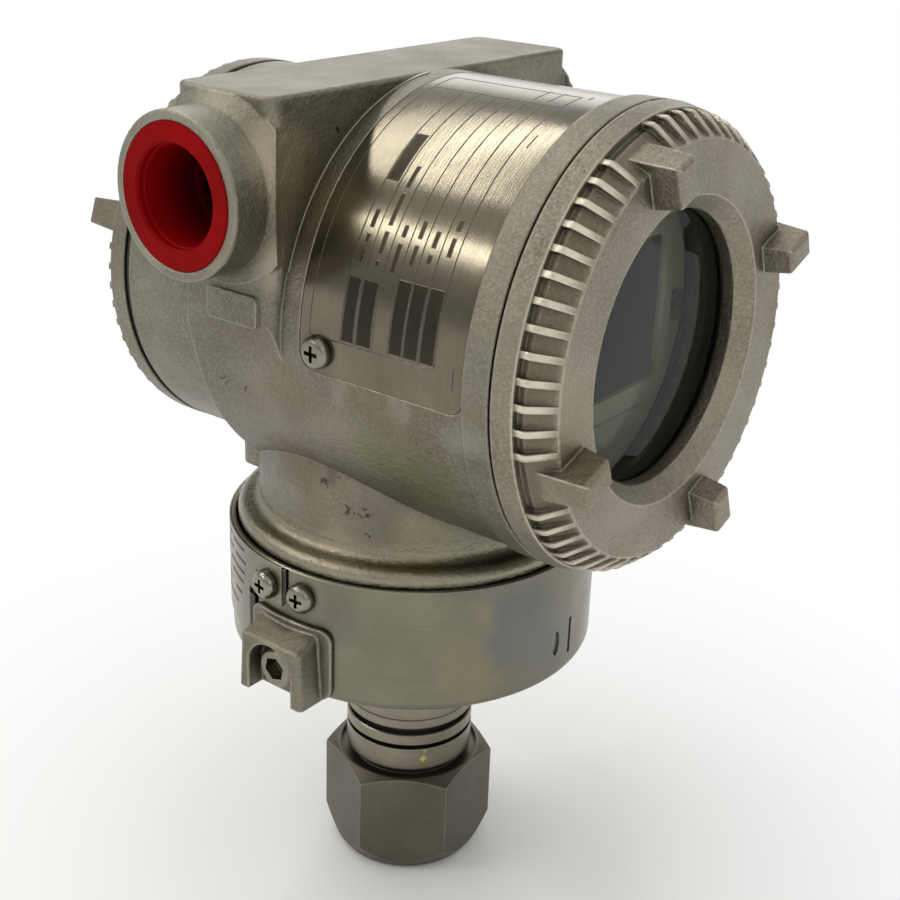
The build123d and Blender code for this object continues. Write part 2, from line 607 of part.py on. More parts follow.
def feedthrough():
    y0 = BULKHEAD_Y[0] - 2.4
    sleeve = rod((0, y0, COVER_Z - 10), (0, 1, 0), 5.0, BULKHEAD_Y[1] - y0)
    pins = []
    start = POWER_BOARD_Y + BOARD_T
    for x in (-2, 2):
        for z in (-12, -8):
            pins.append(rod((x, start, COVER_Z + z), (0, 1, 0), 0.5, y0 - start))
    return sleeve, pins


# Terminal side

def terminal_block():
    y0 = BULKHEAD_Y[1] + SEAT
    body = rod((0, y0, COVER_Z), (0, 1, 0), TERMINAL_R, TERMINAL_T)
    body &= block(-40, 40, -10, 40, COVER_Z - 40, COVER_Z + 9.5)
    body -= block(-40, 40, y0 + 8, 40, COVER_Z - 40, COVER_Z - 8)
    for x in TERMINAL_X:
        body -= block(x - 4.6, x + 4.6, y0 + 7, 40, COVER_Z - 4.6, COVER_Z + 20)
        body -= rod((x, y0 + 2, COVER_Z), (0, 1, 0), 2.0 + SEAT, 20)
    for x in HOLDER_X:
        body -= rod((x, y0 - 1, HOLDER_Z), (0, 1, 0), 1.5 + SEAT, 12)
    return body


def terminals():
    y0 = BULKHEAD_Y[1] + SEAT + 7
    clamps = []
    screws = []
    for x in TERMINAL_X:
        plate = block(x - 4.0, x + 4.0, y0, y0 + 1.2, COVER_Z - 4.0, COVER_Z + 4.0)
        clamps.append(plate - rod((x, y0 - 1, COVER_Z), (0, 1, 0), 2.0 + SEAT, 4))
        screws.append(pan_screw((x, y0 + 1.2, COVER_Z), (0, 1, 0), 3.4, 2.2, 2.0, 5.0))
    holders = []
    for x in HOLDER_X:
        seat = (x, BULKHEAD_Y[1] + SEAT + 8, HOLDER_Z)
        holders.append(pan_screw(seat, (0, 1, 0), 2.8, 1.8, 1.5, 10.4))
    return clamps, screws, holders


def ground_terminal():
    y0 = BULKHEAD_Y[1] + 6
    plate = block(-4, 4, y0, y0 + 1.2, COVER_Z + 15, COVER_Z + 23)
    plate -= rod((0, y0 - 1, COVER_Z + 19), (0, 1, 0), 2.0 + SEAT, 4)
    return plate, pan_screw((0, y0 + 1.2, COVER_Z + 19), (0, 1, 0), 3.5, 2.2, 2.0, 7.2)


def blanking_plug():
    body = rod((RIGHT_X - 0.4, BOSS_Y, BOSS_Z), (-1, 0, 0), CONDUIT_R - SEAT, 11)
    body = chamfer(body.edges().sort_by(Axis.X)[-1:], 0.6)
    return body - hexagon((RIGHT_X + 1, BOSS_Y, BOSS_Z), (-1, 0, 0), 8.0, 7.5)


def dust_plug():
    """The red push-in plug, a thin cup with a flange."""
    x0 = LEFT_X - 0.2
    flange = x0 + 1.1
    wall = 0.65
    body = outline((DUST_PLUG_R, 0, 0.3), (DUST_PLUG_R, flange - x0), (DUST_BORE_R + wall, flange - x0),
                   (DUST_BORE_R + 0.2, DUST_DEPTH, 0.6), (0, DUST_DEPTH), (0, DUST_DEPTH - 1.0),
                   (DUST_BORE_R - 0.6, DUST_DEPTH - 1.0, 0.5), (DUST_BORE_R - 0.15, 1.5),
                   (DUST_BORE_R + 0.1, 1.3), (DUST_BORE_R + 0.1, 0.4), (DUST_BORE_R + 0.5, 0))
    place = Plane(origin=(x0, BOSS_Y, BOSS_Z), x_dir=(0, 1, 0), z_dir=(1, 0, 0))
    return place * revolve(Plane.XZ * body, Axis.Z)


def zero_screw():
    head = ZERO_SEAT - 0.3
    base = ZERO_SEAT - 2.6 + RUN
    way, spot = polar(ZERO_TURN, AMP_R + 0.4)
    body = rod(shifted(spot, ZERO_Y), way, 2.0, base - AMP_R - 0.4 + 0.5)
    _, spot = polar(ZERO_TURN, base)
    body += rod(shifted(spot, ZERO_Y), way, 4.0, head - base)
    slot = block(head - 0.9, head + 2, ZERO_Y - 5, ZERO_Y + 5, COVER_Z - 0.5, COVER_Z + 0.5)
    body -= at_angle(slot, ZERO_TURN)
    _, spot = polar(ZERO_TURN, CAVITY_R + 2.0)
    spot = shifted(spot, ZERO_Y)
    groove = rod(spot, way, 3.0, 1.2) - rod(spot, way, 1.4, 1.2)
    body -= groove
    _, spot = polar(ZERO_TURN, CAVITY_R + 2.05)
    spot = shifted(spot, ZERO_Y)
    seal = rod(spot, way, 1.98, 1.1) - rod(spot, way, 1.4 + SEAT, 1.1)
    return body, seal


# Covers

def lug(base, tip, inner, outer, width, soft):
    """A lug that stands out of a cover along Y, built at angle 0, tapered and rounded at its tip."""
    away = 1 if tip > base else -1
    low = Plane(origin=((inner + outer) / 2, base, COVER_Z), x_dir=(1, 0, 0), z_dir=(0, away, 0))
    high = Plane(origin=((inner + outer) / 2 + 0.4, tip, COVER_Z), x_dir=(1, 0, 0), z_dir=(0, away, 0))
    shape = loft([low * Rectangle(outer - inner, width), high * Rectangle(outer - inner - 2.0, width - 1.0)])
    end = shape.faces().sort_by(Axis.Y)[-1 if away > 0 else 0]
    return fillet(end.edges(), soft)


def ribs(profile, lead):
    """The ribs on a cover's shoulder; the profile is the (radius, y) outline of one rib."""
    band = covered(*profile)
    half = RIB_WIDTH / 2
    one = band & block(20, 60, -80, 80, COVER_Z - half, COVER_Z + half)
    turns = []
    for quarter in range(4):
        start = lead + 90 * quarter + (90 - RIB_STEP * (RIB_COUNT - 1)) / 2
        turns += [start + RIB_STEP * k for k in range(RIB_COUNT)]
    return [at_angle(one, turn) for turn in turns]


def front_cover():
    seat = FRONT_Y - FACE_GAP
    end = seat + SPIGOT_L
    glass_back = FACE_Y + 5.1 + 0.45 + GLASS_T + 0.05
    body = covered((SPIGOT_IN, end), (SPIGOT_OUT - 0.5, end), (SPIGOT_OUT, end - 0.5),
                   (SPIGOT_OUT, seat), (BAND_R, seat, 0.4), (BAND_R - 0.8, FACE_Y + 5.7),
                   (RIB_R - 1.0, FACE_Y + 5.5), (RIB_R - 1.0, FACE_Y + 4.4),
                   (FACE_R - 0.3, FACE_Y + 0.1), (FACE_R - 0.5, FACE_Y), (BEVEL_R, FACE_Y),
                   (WINDOW_R, FACE_Y + 2.8), (WINDOW_R, FACE_Y + 5.1), (GLASS_R + SEAT, FACE_Y + 5.1),
                   (GLASS_R + SEAT, glass_back), (SPIGOT_IN, glass_back))
    body -= ring(seat - 1.6, seat + 1, SPIGOT_OUT + 0.7, SPIGOT_OUT + 2.7)
    rib = ((RIB_R - 2.5, FACE_Y + 6.2), (RIB_R, FACE_Y + 6.2), (RIB_R, FACE_Y + 3.8, 2.0),
           (FACE_R, FACE_Y + 0.05), (FACE_R - 3.0, FACE_Y + 0.4))
    one = lug(FACE_Y + 3.2, LUG_TIP, LUG_OUT - LUG_LONG, LUG_OUT, LUG_WIDE, 0.9)
    lugs = [at_angle(one, LUG_TURN + 90 * k) for k in range(4)]
    return body.fuse(*ribs(rib, LUG_TURN), *lugs)


def window_parts():
    front = FACE_Y + 5.1
    gasket = ring(front + SEAT, front + 0.42, WINDOW_R + 0.2, GLASS_R - SEAT)
    glass = covered((0, front + 0.45), (GLASS_R, front + 0.45, 0.3), (GLASS_R, front + 0.45 + GLASS_T, 0.3),
                    (0, front + 0.45 + GLASS_T))
    back = front + 0.45 + GLASS_T + 0.1
    retainer = ring(back, back + 3.0, GLASS_R - 1.85, SPIGOT_IN - SEAT)
    low, high = SPIGOT_OUT + 0.8, SPIGOT_OUT + 2.6
    deep = FRONT_Y - FACE_GAP - 1.55
    seal = covered((low, FRONT_Y - 0.15, 0.7), (high, FRONT_Y - 0.15, 0.7),
                   (high, deep, 0.7), (low, deep, 0.7))
    return gasket, glass, retainer, seal


def rear_cover():
    seat = REAR_Y + REAR_GAP
    end = seat - REAR_SPIGOT_L
    top = REAR_FACE_Y
    body = covered((REAR_SPIGOT_IN, end), (REAR_SPIGOT_OUT - 0.5, end), (REAR_SPIGOT_OUT, end + 0.5),
                   (REAR_SPIGOT_OUT, seat), (REAR_R + 0.1, seat, 0.4), (REAR_R + 0.1, top - 2.1),
                   (REAR_R - 0.8, top - 2.0), (REAR_R - 0.8, top - 1.5), (REAR_R - 2.6, top - 0.1),
                   (REAR_R - 2.8, top), (0, top), (0, top - 3.5), (REAR_SPIGOT_IN, top - 3.5))
    rib = ((REAR_R - 2.5, top - 2.6), (REAR_R, top - 2.6), (REAR_R, top - 1.5),
           (REAR_R - 2.2, top - 0.05), (REAR_R - 5.0, top - 0.3))
    one = lug(top - 2.0, REAR_LUG_TIP, REAR_R - 8.4, REAR_R, LUG_WIDE, 1.4)
    lugs = [at_angle(one, REAR_LUG_TURN + 90 * k) for k in range(4)]
    low, high = REAR_R - 2.4, REAR_R - 0.4
    seal = covered((low, REAR_Y + 0.06, 0.3), (high, REAR_Y + 0.06, 0.4),
                   (high, seat - 0.06, 0.4), (low, seat - 0.06, 0.3))
    return body.fuse(*ribs(rib, REAR_LUG_TURN), *lugs), seal


# All the pieces

def pieces():
    named = {}
    named["process_connection"] = process_connection()
    named["stem_collar"] = stem_collar()
    named["stem_ring"] = stem_ring()
    named["sensor_stem"] = sensor_stem()
    diaphragm, capsule, header, pins, lead = capsule_parts()
    named["isolating_diaphragm"] = diaphragm
    named["sensor_capsule"] = capsule
    named["capsule_header"] = header
    named["header_pins"] = pins
    named["sensor_lead"] = lead
    named["sensor_cup"] = sensor_cup()
    named["lock_guard"] = lock_guard()
    named["lock_screw"] = lock_screw()
    named["tag_plate"] = tag_plate()
    named["band_screws"] = band_screws()
    clip, seal = hub_rings()
    named["hub_clip"] = clip
    named["neck_o_ring"] = seal
    named["housing"] = housing()
    named["nameplate"] = nameplate()
    named["nameplate_screws"] = nameplate_screws()
    named["amplifier_case"] = amplifier_case()
    named["amplifier_screws"] = amplifier_screws()
    named["main_board"] = board(MAIN_BOARD_Y)
    named["power_board"] = board(POWER_BOARD_Y)
    named["board_connector"] = board_connector()
    named["board_parts"] = board_parts()
    named["display_case"] = display_case()
    named["display_screen"] = display_screen()
    named["display_board"] = display_board()
    named["display_screws"] = display_screws()
    named["lead_socket"] = lead_socket()
    named["amplifier_lead"] = amplifier_lead()
    sleeve, pins = feedthrough()
    named["bulkhead_feedthrough"] = sleeve
    named["feedthrough_pins"] = pins
    named["terminal_block"] = terminal_block()
    clamps, screws, holders = terminals()
    named["terminal_clamps"] = clamps
    named["terminal_screws"] = screws
    named["terminal_block_screws"] = holders
    plate, screw = ground_terminal()
    named["ground_clamp"] = plate
    named["ground_screw"] = screw
    named["blanking_plug"] = blanking_plug()
    named["dust_plug"] = dust_plug()
    screw, seal = zero_screw()
    named["zero_screw"] = screw
    named["zero_screw_o_ring"] = seal
    named["front_cover"] = front_cover()
    gasket, glass, retainer, seal = window_parts()
    named["glass_gasket"] = gasket
    named["window_glass"] = glass
    named["glass_retainer"] = retainer
    named["front_cover_o_ring"] = seal
    cover, seal = rear_cover()
    named["rear_cover"] = cover
    named["rear_cover_o_ring"] = seal
    return named


os.makedirs("parts", exist_ok=True)
for name, shape in pieces().items():
    if isinstance(shape, list):
        shape = Compound(children=shape)
    export_step(shape, f"parts/{name}.step")
    box = shape.bounding_box()
    print(f"{name:24s} solids {len(shape.solids()):2d}  volume {shape.volume:10.1f}  "
          f"x {box.min.X:7.2f} {box.max.X:7.2f}  y {box.min.Y:7.2f} {box.max.Y:7.2f}  "
          f"z {box.min.Z:7.2f} {box.max.Z:7.2f}")
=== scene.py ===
from math import cos, pi, radians, sin

import bmesh
import bpy
from mathutils import Matrix, Vector


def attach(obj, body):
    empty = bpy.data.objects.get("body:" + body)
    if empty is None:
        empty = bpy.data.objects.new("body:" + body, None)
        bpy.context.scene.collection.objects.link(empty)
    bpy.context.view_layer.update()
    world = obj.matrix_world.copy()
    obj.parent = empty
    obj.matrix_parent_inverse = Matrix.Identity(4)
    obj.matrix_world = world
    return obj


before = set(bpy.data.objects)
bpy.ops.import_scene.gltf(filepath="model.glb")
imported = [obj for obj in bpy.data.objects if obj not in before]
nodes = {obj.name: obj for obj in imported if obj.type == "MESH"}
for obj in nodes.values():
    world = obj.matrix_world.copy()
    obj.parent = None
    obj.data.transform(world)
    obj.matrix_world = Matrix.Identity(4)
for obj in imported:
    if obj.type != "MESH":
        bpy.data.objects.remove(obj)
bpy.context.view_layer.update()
MM = 0.001
ZC = 119.0                 # height of the cover axis
LOWER_BODY = "sensor"      # the body that carries the cup and the port
EDGE_SAMPLES = 3           # rays for soft edges and for creases


# Camera, fitted to the photo: degrees, and metres for its place

VIEW_AZIMUTH = -53.05
VIEW_ELEVATION = 21.38
VIEW_ROLL = 2.12
LENS = 59.57
LENS_SHIFT = (-0.0086, -0.0552)
CAMERA_PLACE = (-0.203774, -0.162723, 0.198588)


def set_camera():
    az, el, roll = radians(VIEW_AZIMUTH), radians(VIEW_ELEVATION), radians(VIEW_ROLL)
    back = Vector((sin(az) * cos(el), -cos(az) * cos(el), sin(el)))
    level_right = Vector((cos(az), sin(az), 0))
    level_up = back.cross(level_right)
    right = level_right * cos(roll) + level_up * sin(roll)
    up = -level_right * sin(roll) + level_up * cos(roll)
    data = bpy.data.cameras.new("camera")
    data.sensor_width = 36.0
    data.lens = LENS
    data.shift_x, data.shift_y = LENS_SHIFT
    data.clip_start = 0.01
    camera = bpy.data.objects.new("camera", data)
    turn = Matrix((right, up, back)).transposed().to_4x4()
    camera.matrix_world = Matrix.Translation(Vector(CAMERA_PLACE)) @ turn
    bpy.context.scene.collection.objects.link(camera)
    bpy.context.scene.camera = camera


# Materials

class Shade:
    """A node material with short names for the nodes that are used most."""

    def __init__(self, name, metallic=0.0, roughness=0.5):
        self.material = bpy.data.materials.new(name)
        self.material.use_nodes = True
        self.tree = self.material.node_tree
        self.tree.nodes.clear()
        out = self.add("ShaderNodeOutputMaterial")
        self.bsdf = self.add("ShaderNodeBsdfPrincipled")
        self.tree.links.new(self.bsdf.outputs[0], out.inputs[0])
        self.bsdf.inputs["Metallic"].default_value = metallic
        self.bsdf.inputs["Roughness"].default_value = roughness
        self.place = self.add("ShaderNodeTexCoord").outputs["Object"]

    def add(self, kind):
        return self.tree.nodes.new(kind)

    def put(self, value, socket):
        if isinstance(value, bpy.types.NodeSocket):
            self.tree.links.new(value, socket)
        elif isinstance(value, (tuple, list)) and len(value) == 3 and socket.type == "RGBA":
            socket.default_value = (*value, 1.0)
        else:
            socket.default_value = value

    def noise(self, scale, detail=3.0, rough=0.55, vector=None, distortion=0.0):
        node = self.add("ShaderNodeTexNoise")
        self.put(self.place if vector is None else vector, node.inputs["Vector"])
        node.inputs["Scale"].default_value = scale
        node.inputs["Detail"].default_value = detail
        node.inputs["Roughness"].default_value = rough
        node.inputs["Distortion"].default_value = distortion
        return node.outputs["Fac"]

    def cells(self, scale):
        node = self.add("ShaderNodeTexVoronoi")
        self.put(self.place, node.inputs["Vector"])
        node.inputs["Scale"].default_value = scale
        return node.outputs["Distance"]

    def ramp(self, fac, low, high, a=0.0, b=1.0):
        node = self.add("ShaderNodeMapRange")
        self.put(fac, node.inputs["Value"])
        for name, value in (("From Min", low), ("From Max", high), ("To Min", a), ("To Max", b)):
            node.inputs[name].default_value = value
        return node.outputs["Result"]

    def math(self, kind, a, b=0.0):
        node = self.add("ShaderNodeMath")
        node.operation = kind
        self.put(a, node.inputs[0])
        self.put(b, node.inputs[1])
        return node.outputs[0]

    def mix(self, fac, a, b):
        node = self.add("ShaderNodeMix")
        node.data_type = "RGBA"
        self.put(fac, node.inputs["Factor"])
        self.put(a, node.inputs["A"])
        self.put(b, node.inputs["B"])
        return node.outputs["Result"]

    def ragged(self, amount, scale):
        """The place, pushed about by noise so that spots get a ragged edge."""
        node = self.add("ShaderNodeTexNoise")
        self.put(self.place, node.inputs["Vector"])
        node.inputs["Scale"].default_value = scale
        node.inputs["Detail"].default_value = 2.0
        push = self.add("ShaderNodeVectorMath")
        push.operation = "MULTIPLY_ADD"
        self.put(node.outputs["Color"], push.inputs[0])
        push.inputs[1].default_value = (2 * amount * MM,) * 3
        self.put(self.place, push.inputs[2])
        back = self.add("ShaderNodeVectorMath")
        back.operation = "SUBTRACT"
        self.put(push.outputs[0], back.inputs[0])
        back.inputs[1].default_value = (amount * MM,) * 3
        return back.outputs[0]

    def spot(self, where, point, radius, edge=0.6):
        """1 near a point in millimetres, 0 beyond the radius."""
        far = self.add("ShaderNodeVectorMath")
        far.operation = "DISTANCE"
        self.put(where, far.inputs[0])
        far.inputs[1].default_value = [v * MM for v in point]
        return self.ramp(far.outputs["Value"], radius * MM, radius * MM * (1 - edge))

    def tint_spots(self, color, spot_table):
        """Tinted spots, as stained patches and as painted highlights: point and radius in millimetres, tint,
        amount. Small ones get the finer edge.
        """
        if not spot_table:
            return color
        wide = self.ragged(5.0, 110)
        fine = self.ragged(0.7, 1100)
        for point, radius, tint, amount in spot_table:
            mask = self.spot(fine if radius < 2.5 else wide, point, radius)
            color = self.mix(self.math("MULTIPLY", mask, amount), color, tint)
        return color

    def cracks(self, color, places):
        """Short dark squiggles, as small casting cracks, round the given places."""
        if not places:
            return color
        lines = self.math("ABSOLUTE", self.math("SUBTRACT", self.noise(620, 2, 0.5), 0.5))
        lines = self.ramp(lines, 0.055, 0.025)
        for point, radius in places:
            mask = self.math("MULTIPLY", self.spot(self.place, point, radius, 0.3), lines)
            color = self.mix(self.math("MULTIPLY", mask, 0.7), color, (0.016, 0.012, 0.008))
        return color

    def axis(self, name):
        node = self.add("ShaderNodeSeparateXYZ")
        self.put(self.place, node.inputs[0])
        return node.outputs[name]

    def stretch(self, x, y, z):
        node = self.add("ShaderNodeVectorMath")
        node.operation = "MULTIPLY"
        self.put(self.place, node.inputs[0])
        node.inputs[1].default_value = (x, y, z)
        return node.outputs[0]

    def bump(self, height, strength, distance, normal=None):
        node = self.add("ShaderNodeBump")
        node.inputs["Strength"].default_value = strength
        node.inputs["Distance"].default_value = distance
        self.put(height, node.inputs["Height"])
        if normal is not None:
            self.put(normal, node.inputs["Normal"])
        return node.outputs["Normal"]

    def bevel(self, radius):
        node = self.add("ShaderNodeBevel")
        node.samples = EDGE_SAMPLES
        node.inputs["Radius"].default_value = radius * MM
        return node.outputs["Normal"]

    def edges(self, soft):
        """1 where an edge turns sharply, read from the softened normal."""
        flat = self.add("ShaderNodeNewGeometry").outputs["Normal"]
        dot = self.add("ShaderNodeVectorMath")
        dot.operation = "DOT_PRODUCT"
        self.put(soft, dot.inputs[0])
        self.put(flat, dot.inputs[1])
        return self.ramp(dot.outputs["Value"], 0.985, 0.88)

    # Ambient occlusion mask, used to paint shade into creases and corners.
    def creases(self, distance):
        node = self.add("ShaderNodeAmbientOcclusion")
        node.samples = EDGE_SAMPLES
        node.inputs["Distance"].default_value = distance * MM
        return self.ramp(node.outputs["AO"], 0.35, 0.85, 1.0, 0.0)

    def finish(self, color, roughness=None, normal=None):
        self.put(color, self.bsdf.inputs["Base Color"])
        if roughness is not None:
            self.put(roughness, self.bsdf.inputs["Roughness"])
        if normal is not None:
            self.put(normal, self.bsdf.inputs["Normal"])
        return self.material


# The front cover's ribs, in millimetres. Their height is read from radius - RIB_SLOPE * Y.
RIB_SLOPE = 0.605
RIB_FLOOR = 67.65
RIB_TIP = 68.5
RIB_START = -47.9          # Y where the ribs begin
RIB_INNER = (34.9, 35.4)   # the radius where the painted shade between them fades in
LUG_TURN = 20.7            # the first of the four lugs, in degrees
LUG_EDGE = (0.085, 0.10)   # half a lug, in quarter turns, and where the rubbed tips and their painted glint start


def casting_color(s, light, dark):
    """Soft blotches, a fine speckle, and brown and cool patches."""
    blotch = s.ramp(s.noise(42, 4, 0.6), 0.36, 0.66)
    speck = s.ramp(s.noise(1900, 2, 0.6), 0.42, 0.68)
    color = s.mix(blotch, dark, light)
    color = s.mix(s.math("MULTIPLY", speck, 0.45), color, [v * 1.5 for v in light])
    tone = s.noise(17, 4, 0.6, distortion=0.5)
    brown = s.math("MULTIPLY", s.ramp(tone, 0.54, 0.68), 0.40)
    color = s.mix(brown, color, (dark[0] * 1.02, dark[1] * 0.86, dark[2] * 0.66))
    cool = s.math("MULTIPLY", s.ramp(tone, 0.46, 0.33), 0.40)
    return s.mix(cool, color, (light[0] * 0.92, light[1] * 0.99, light[2] * 1.08))


def pitted(s, color):
    """A few small dark pits."""
    pits = s.ramp(s.cells(760), 0.17, 0.07)
    rare = s.ramp(s.noise(120, 2), 0.60, 0.66)
    pits = s.math("MULTIPLY", pits, rare)
    return s.mix(s.math("MULTIPLY", pits, 0.8), color, (0.02, 0.017, 0.012))


def rib_shade_and_glint(s, color, level, wear_and_glint):
    """Painted shade between the front cover's ribs, and lighter, smoother tips (worn metal and a painted
    glint), with the lugs left out.
    """
    flat = s.add("ShaderNodeVectorMath")
    flat.operation = "MULTIPLY_ADD"
    s.put(s.place, flat.inputs[0])
    flat.inputs[1].default_value = (1, 0, 1)
    flat.inputs[2].default_value = (0, 0, -ZC * MM)
    out = s.add("ShaderNodeVectorMath")
    out.operation = "LENGTH"
    s.put(flat.outputs[0], out.inputs[0])
    radius = out.outputs["Value"]
    across = s.math("SUBTRACT", radius, s.math("MULTIPLY", s.axis("Y"), RIB_SLOPE))
    band = s.ramp(s.axis("Y"), RIB_START * MM, (RIB_START - 0.5) * MM)
    low = s.math("MULTIPLY", s.ramp(across, (RIB_FLOOR + 0.35) * MM, (RIB_FLOOR + 0.1) * MM), band)
    high = s.math("MULTIPLY", s.ramp(across, (RIB_FLOOR + 0.25) * MM, RIB_TIP * MM), band)
    split = s.add("ShaderNodeSeparateXYZ")
    s.put(flat.outputs[0], split.inputs[0])
    turn = s.math("ARCTAN2", split.outputs["Z"], split.outputs["X"])
    quarters = s.math("DIVIDE", s.math("SUBTRACT", turn, radians(LUG_TURN)), radians(90))
    off_lug = s.ramp(s.math("PINGPONG", quarters, 0.5), *LUG_EDGE)
    high = s.math("MULTIPLY", off_lug, high)
    side = s.ramp(radius, RIB_INNER[0] * MM, RIB_INNER[1] * MM)
    # Painted shade in the grooves between the ribs.
    color = s.mix(s.math("MULTIPLY", s.math("MULTIPLY", low, side), 0.55), color, (0.120, 0.100, 0.068))
    # Rib tips lighter: worn metal, and partly a painted glint.
    color = s.mix(s.math("MULTIPLY", high, 0.65), color, wear_and_glint)
    return color, s.math("SUBTRACT", level, s.math("MULTIPLY", high, 0.14))


def cast_metal(name, light, dark, spot_table=(), cracks=(), grain=1.3, round_mm=0.5, rough=(0.38, 0.52),
               wear_and_glint=(0.60, 0.55, 0.44), polish_and_sheen=None, ribs=False):
    """Blasted stainless casting: fine grain, soft blotches, pits, bright worn edges (on the front cover
    partly a painted glint), painted shade in the corners.
    """
    s = Shade(name, metallic=1.0)
    soft = s.bevel(round_mm)
    color = s.tint_spots(casting_color(s, light, dark), spot_table)
    color = pitted(s, s.cracks(color, cracks))
    # Edges lighter: worn metal, and on the front cover partly a painted glint.
    worn = s.math("MULTIPLY", s.edges(soft), s.ramp(s.noise(700, 2), 0.25, 0.55, 0.35, 0.85))
    color = s.mix(worn, color, wear_and_glint)
    # Painted shade: creases and corners darkened where ambient occlusion finds them.
    crease_shade = s.math("MULTIPLY", s.creases(2.4), 0.80)
    color = s.mix(crease_shade, color, (0.035, 0.029, 0.019))
    level = s.ramp(s.noise(70, 3), 0.3, 0.7, *rough)
    level = s.math("SUBTRACT", level, s.math("MULTIPLY", worn, 0.16))
    if ribs:
        color, level = rib_shade_and_glint(s, color, level, wear_and_glint)
    # Polished low part: lower roughness, and a lighter colour there that is a painted highlight.
    if polish_and_sheen:
        full, gone = polish_and_sheen
        bright = s.ramp(s.axis("Z"), gone * MM, full * MM)
        color = s.mix(s.math("MULTIPLY", bright, 0.45), color, (0.36, 0.33, 0.235))
        level = s.math("SUBTRACT", level, s.math("MULTIPLY", bright, 0.20))
    fine = s.bump(s.noise(2300, 3, 0.7), 0.38 * grain, 0.00025, soft)
    coarse = s.bump(s.noise(640, 2, 0.6), 0.22 * grain, 0.0006, fine)
    return s.finish(color, level, coarse)


def turned_metal(name, light, dark, spot_table=(), rough=(0.22, 0.36), axis=2, lines=0.10, crease_shade_level=0.8):
    """Turned, drawn or brushed stainless: fine lines across one axis, faint stained patches, bright edges."""
    s = Shade(name, metallic=1.0)
    soft = s.bevel(0.25)
    stretch = [60.0, 60.0, 60.0]
    stretch[axis] = 5200.0
    rings = s.noise(1.0, 3, 0.7, vector=s.stretch(*stretch))
    blotch = s.ramp(s.noise(52, 4, 0.6), 0.34, 0.68)
    color = s.mix(blotch, dark, light)
    color = s.mix(s.math("MULTIPLY", s.ramp(rings, 0.4, 0.7), 0.30), color, [v * 0.70 for v in dark])
    color = s.tint_spots(color, spot_table)
    worn = s.math("MULTIPLY", s.edges(soft), 0.6)
    color = s.mix(worn, color, (0.62, 0.58, 0.48))
    # Painted shade: creases darkened where ambient occlusion finds them.
    crease_shade = s.math("MULTIPLY", s.creases(1.6), crease_shade_level)
    color = s.mix(crease_shade, color, (0.03, 0.025, 0.018))
    level = s.ramp(s.noise(90, 3), 0.3, 0.7, *rough)
    normal = s.bump(rings, lines, 0.00012, soft)
    return s.finish(color, level, normal)


def plastic(name, color, dark, rough, bump=0.12, dust=0.10, shine=0.5, hollow_shade=None):
    """Moulded plastic or rubber. Last argument: from and to along X, where painted shade darkens its hollow,
    and its middle.
    """
    s = Shade(name, roughness=rough)
    tone = s.ramp(s.noise(60, 3), 0.35, 0.7)
    shade = s.mix(tone, dark, color)
    film = s.math("MULTIPLY", s.ramp(s.noise(300, 4, 0.7), 0.55, 0.8), dust)
    shade = s.mix(film, shade, (0.55, 0.52, 0.46))
    # Painted shade: the hollow goes near black towards its far end.
    if hollow_shade:
        near, far, middle = hollow_shade
        inside = s.spot(s.place, middle, 13.0, 0.55)
        back = s.ramp(s.axis("X"), near * MM, far * MM)
        shade = s.mix(s.math("MULTIPLY", back, inside), shade, [v * 0.03 for v in dark])
    level = s.ramp(s.noise(200, 3), 0.3, 0.7, max(rough - 0.06, 0.03), rough + 0.08)
    normal = s.bump(s.noise(1800, 2), bump, 0.0001, s.bevel(0.2))
    s.bsdf.inputs["Specular IOR Level"].default_value = shine
    return s.finish(shade, level, normal)


def glass(name):
    """Window glass: faintly green, with a thin film. It bends and mirrors less than real glass."""
    s = Shade(name, roughness=0.02)
    film = s.ramp(s.noise(90, 4), 0.35, 0.75, 0.0, 0.02)
    s.bsdf.inputs["Transmission Weight"].default_value = 1.0
    s.bsdf.inputs["IOR"].default_value = 1.2
    s.bsdf.inputs["Specular Tint"].default_value = (0, 0, 0, 1)
    tone = s.mix(s.ramp(s.noise(40, 3), 0.4, 0.7), (0.84, 0.88, 0.80), (0.92, 0.95, 0.88))
    return s.finish(tone, film)


def board_green(name):
    """Circuit board laminate with faint lanes."""
    s = Shade(name, roughness=0.35)
    lanes = s.ramp(s.noise(1.0, 2, vector=s.stretch(900, 60, 60)), 0.48, 0.55)
    color = s.mix(s.math("MULTIPLY", lanes, 0.5), (0.01, 0.10, 0.035), (0.03, 0.20, 0.08))
    return s.finish(color, s.ramp(s.noise(300, 2), 0.3, 0.7, 0.28, 0.45), s.bump(lanes, 0.2, 0.00005))


LIGHT = (0.235, 0.220, 0.172)
DARK = (0.160, 0.148, 0.112)

# Spots: point and radius in millimetres, tint, amount; on the housing a few are painted highlights, the rest
# stained patches. Cracks: point and radius.

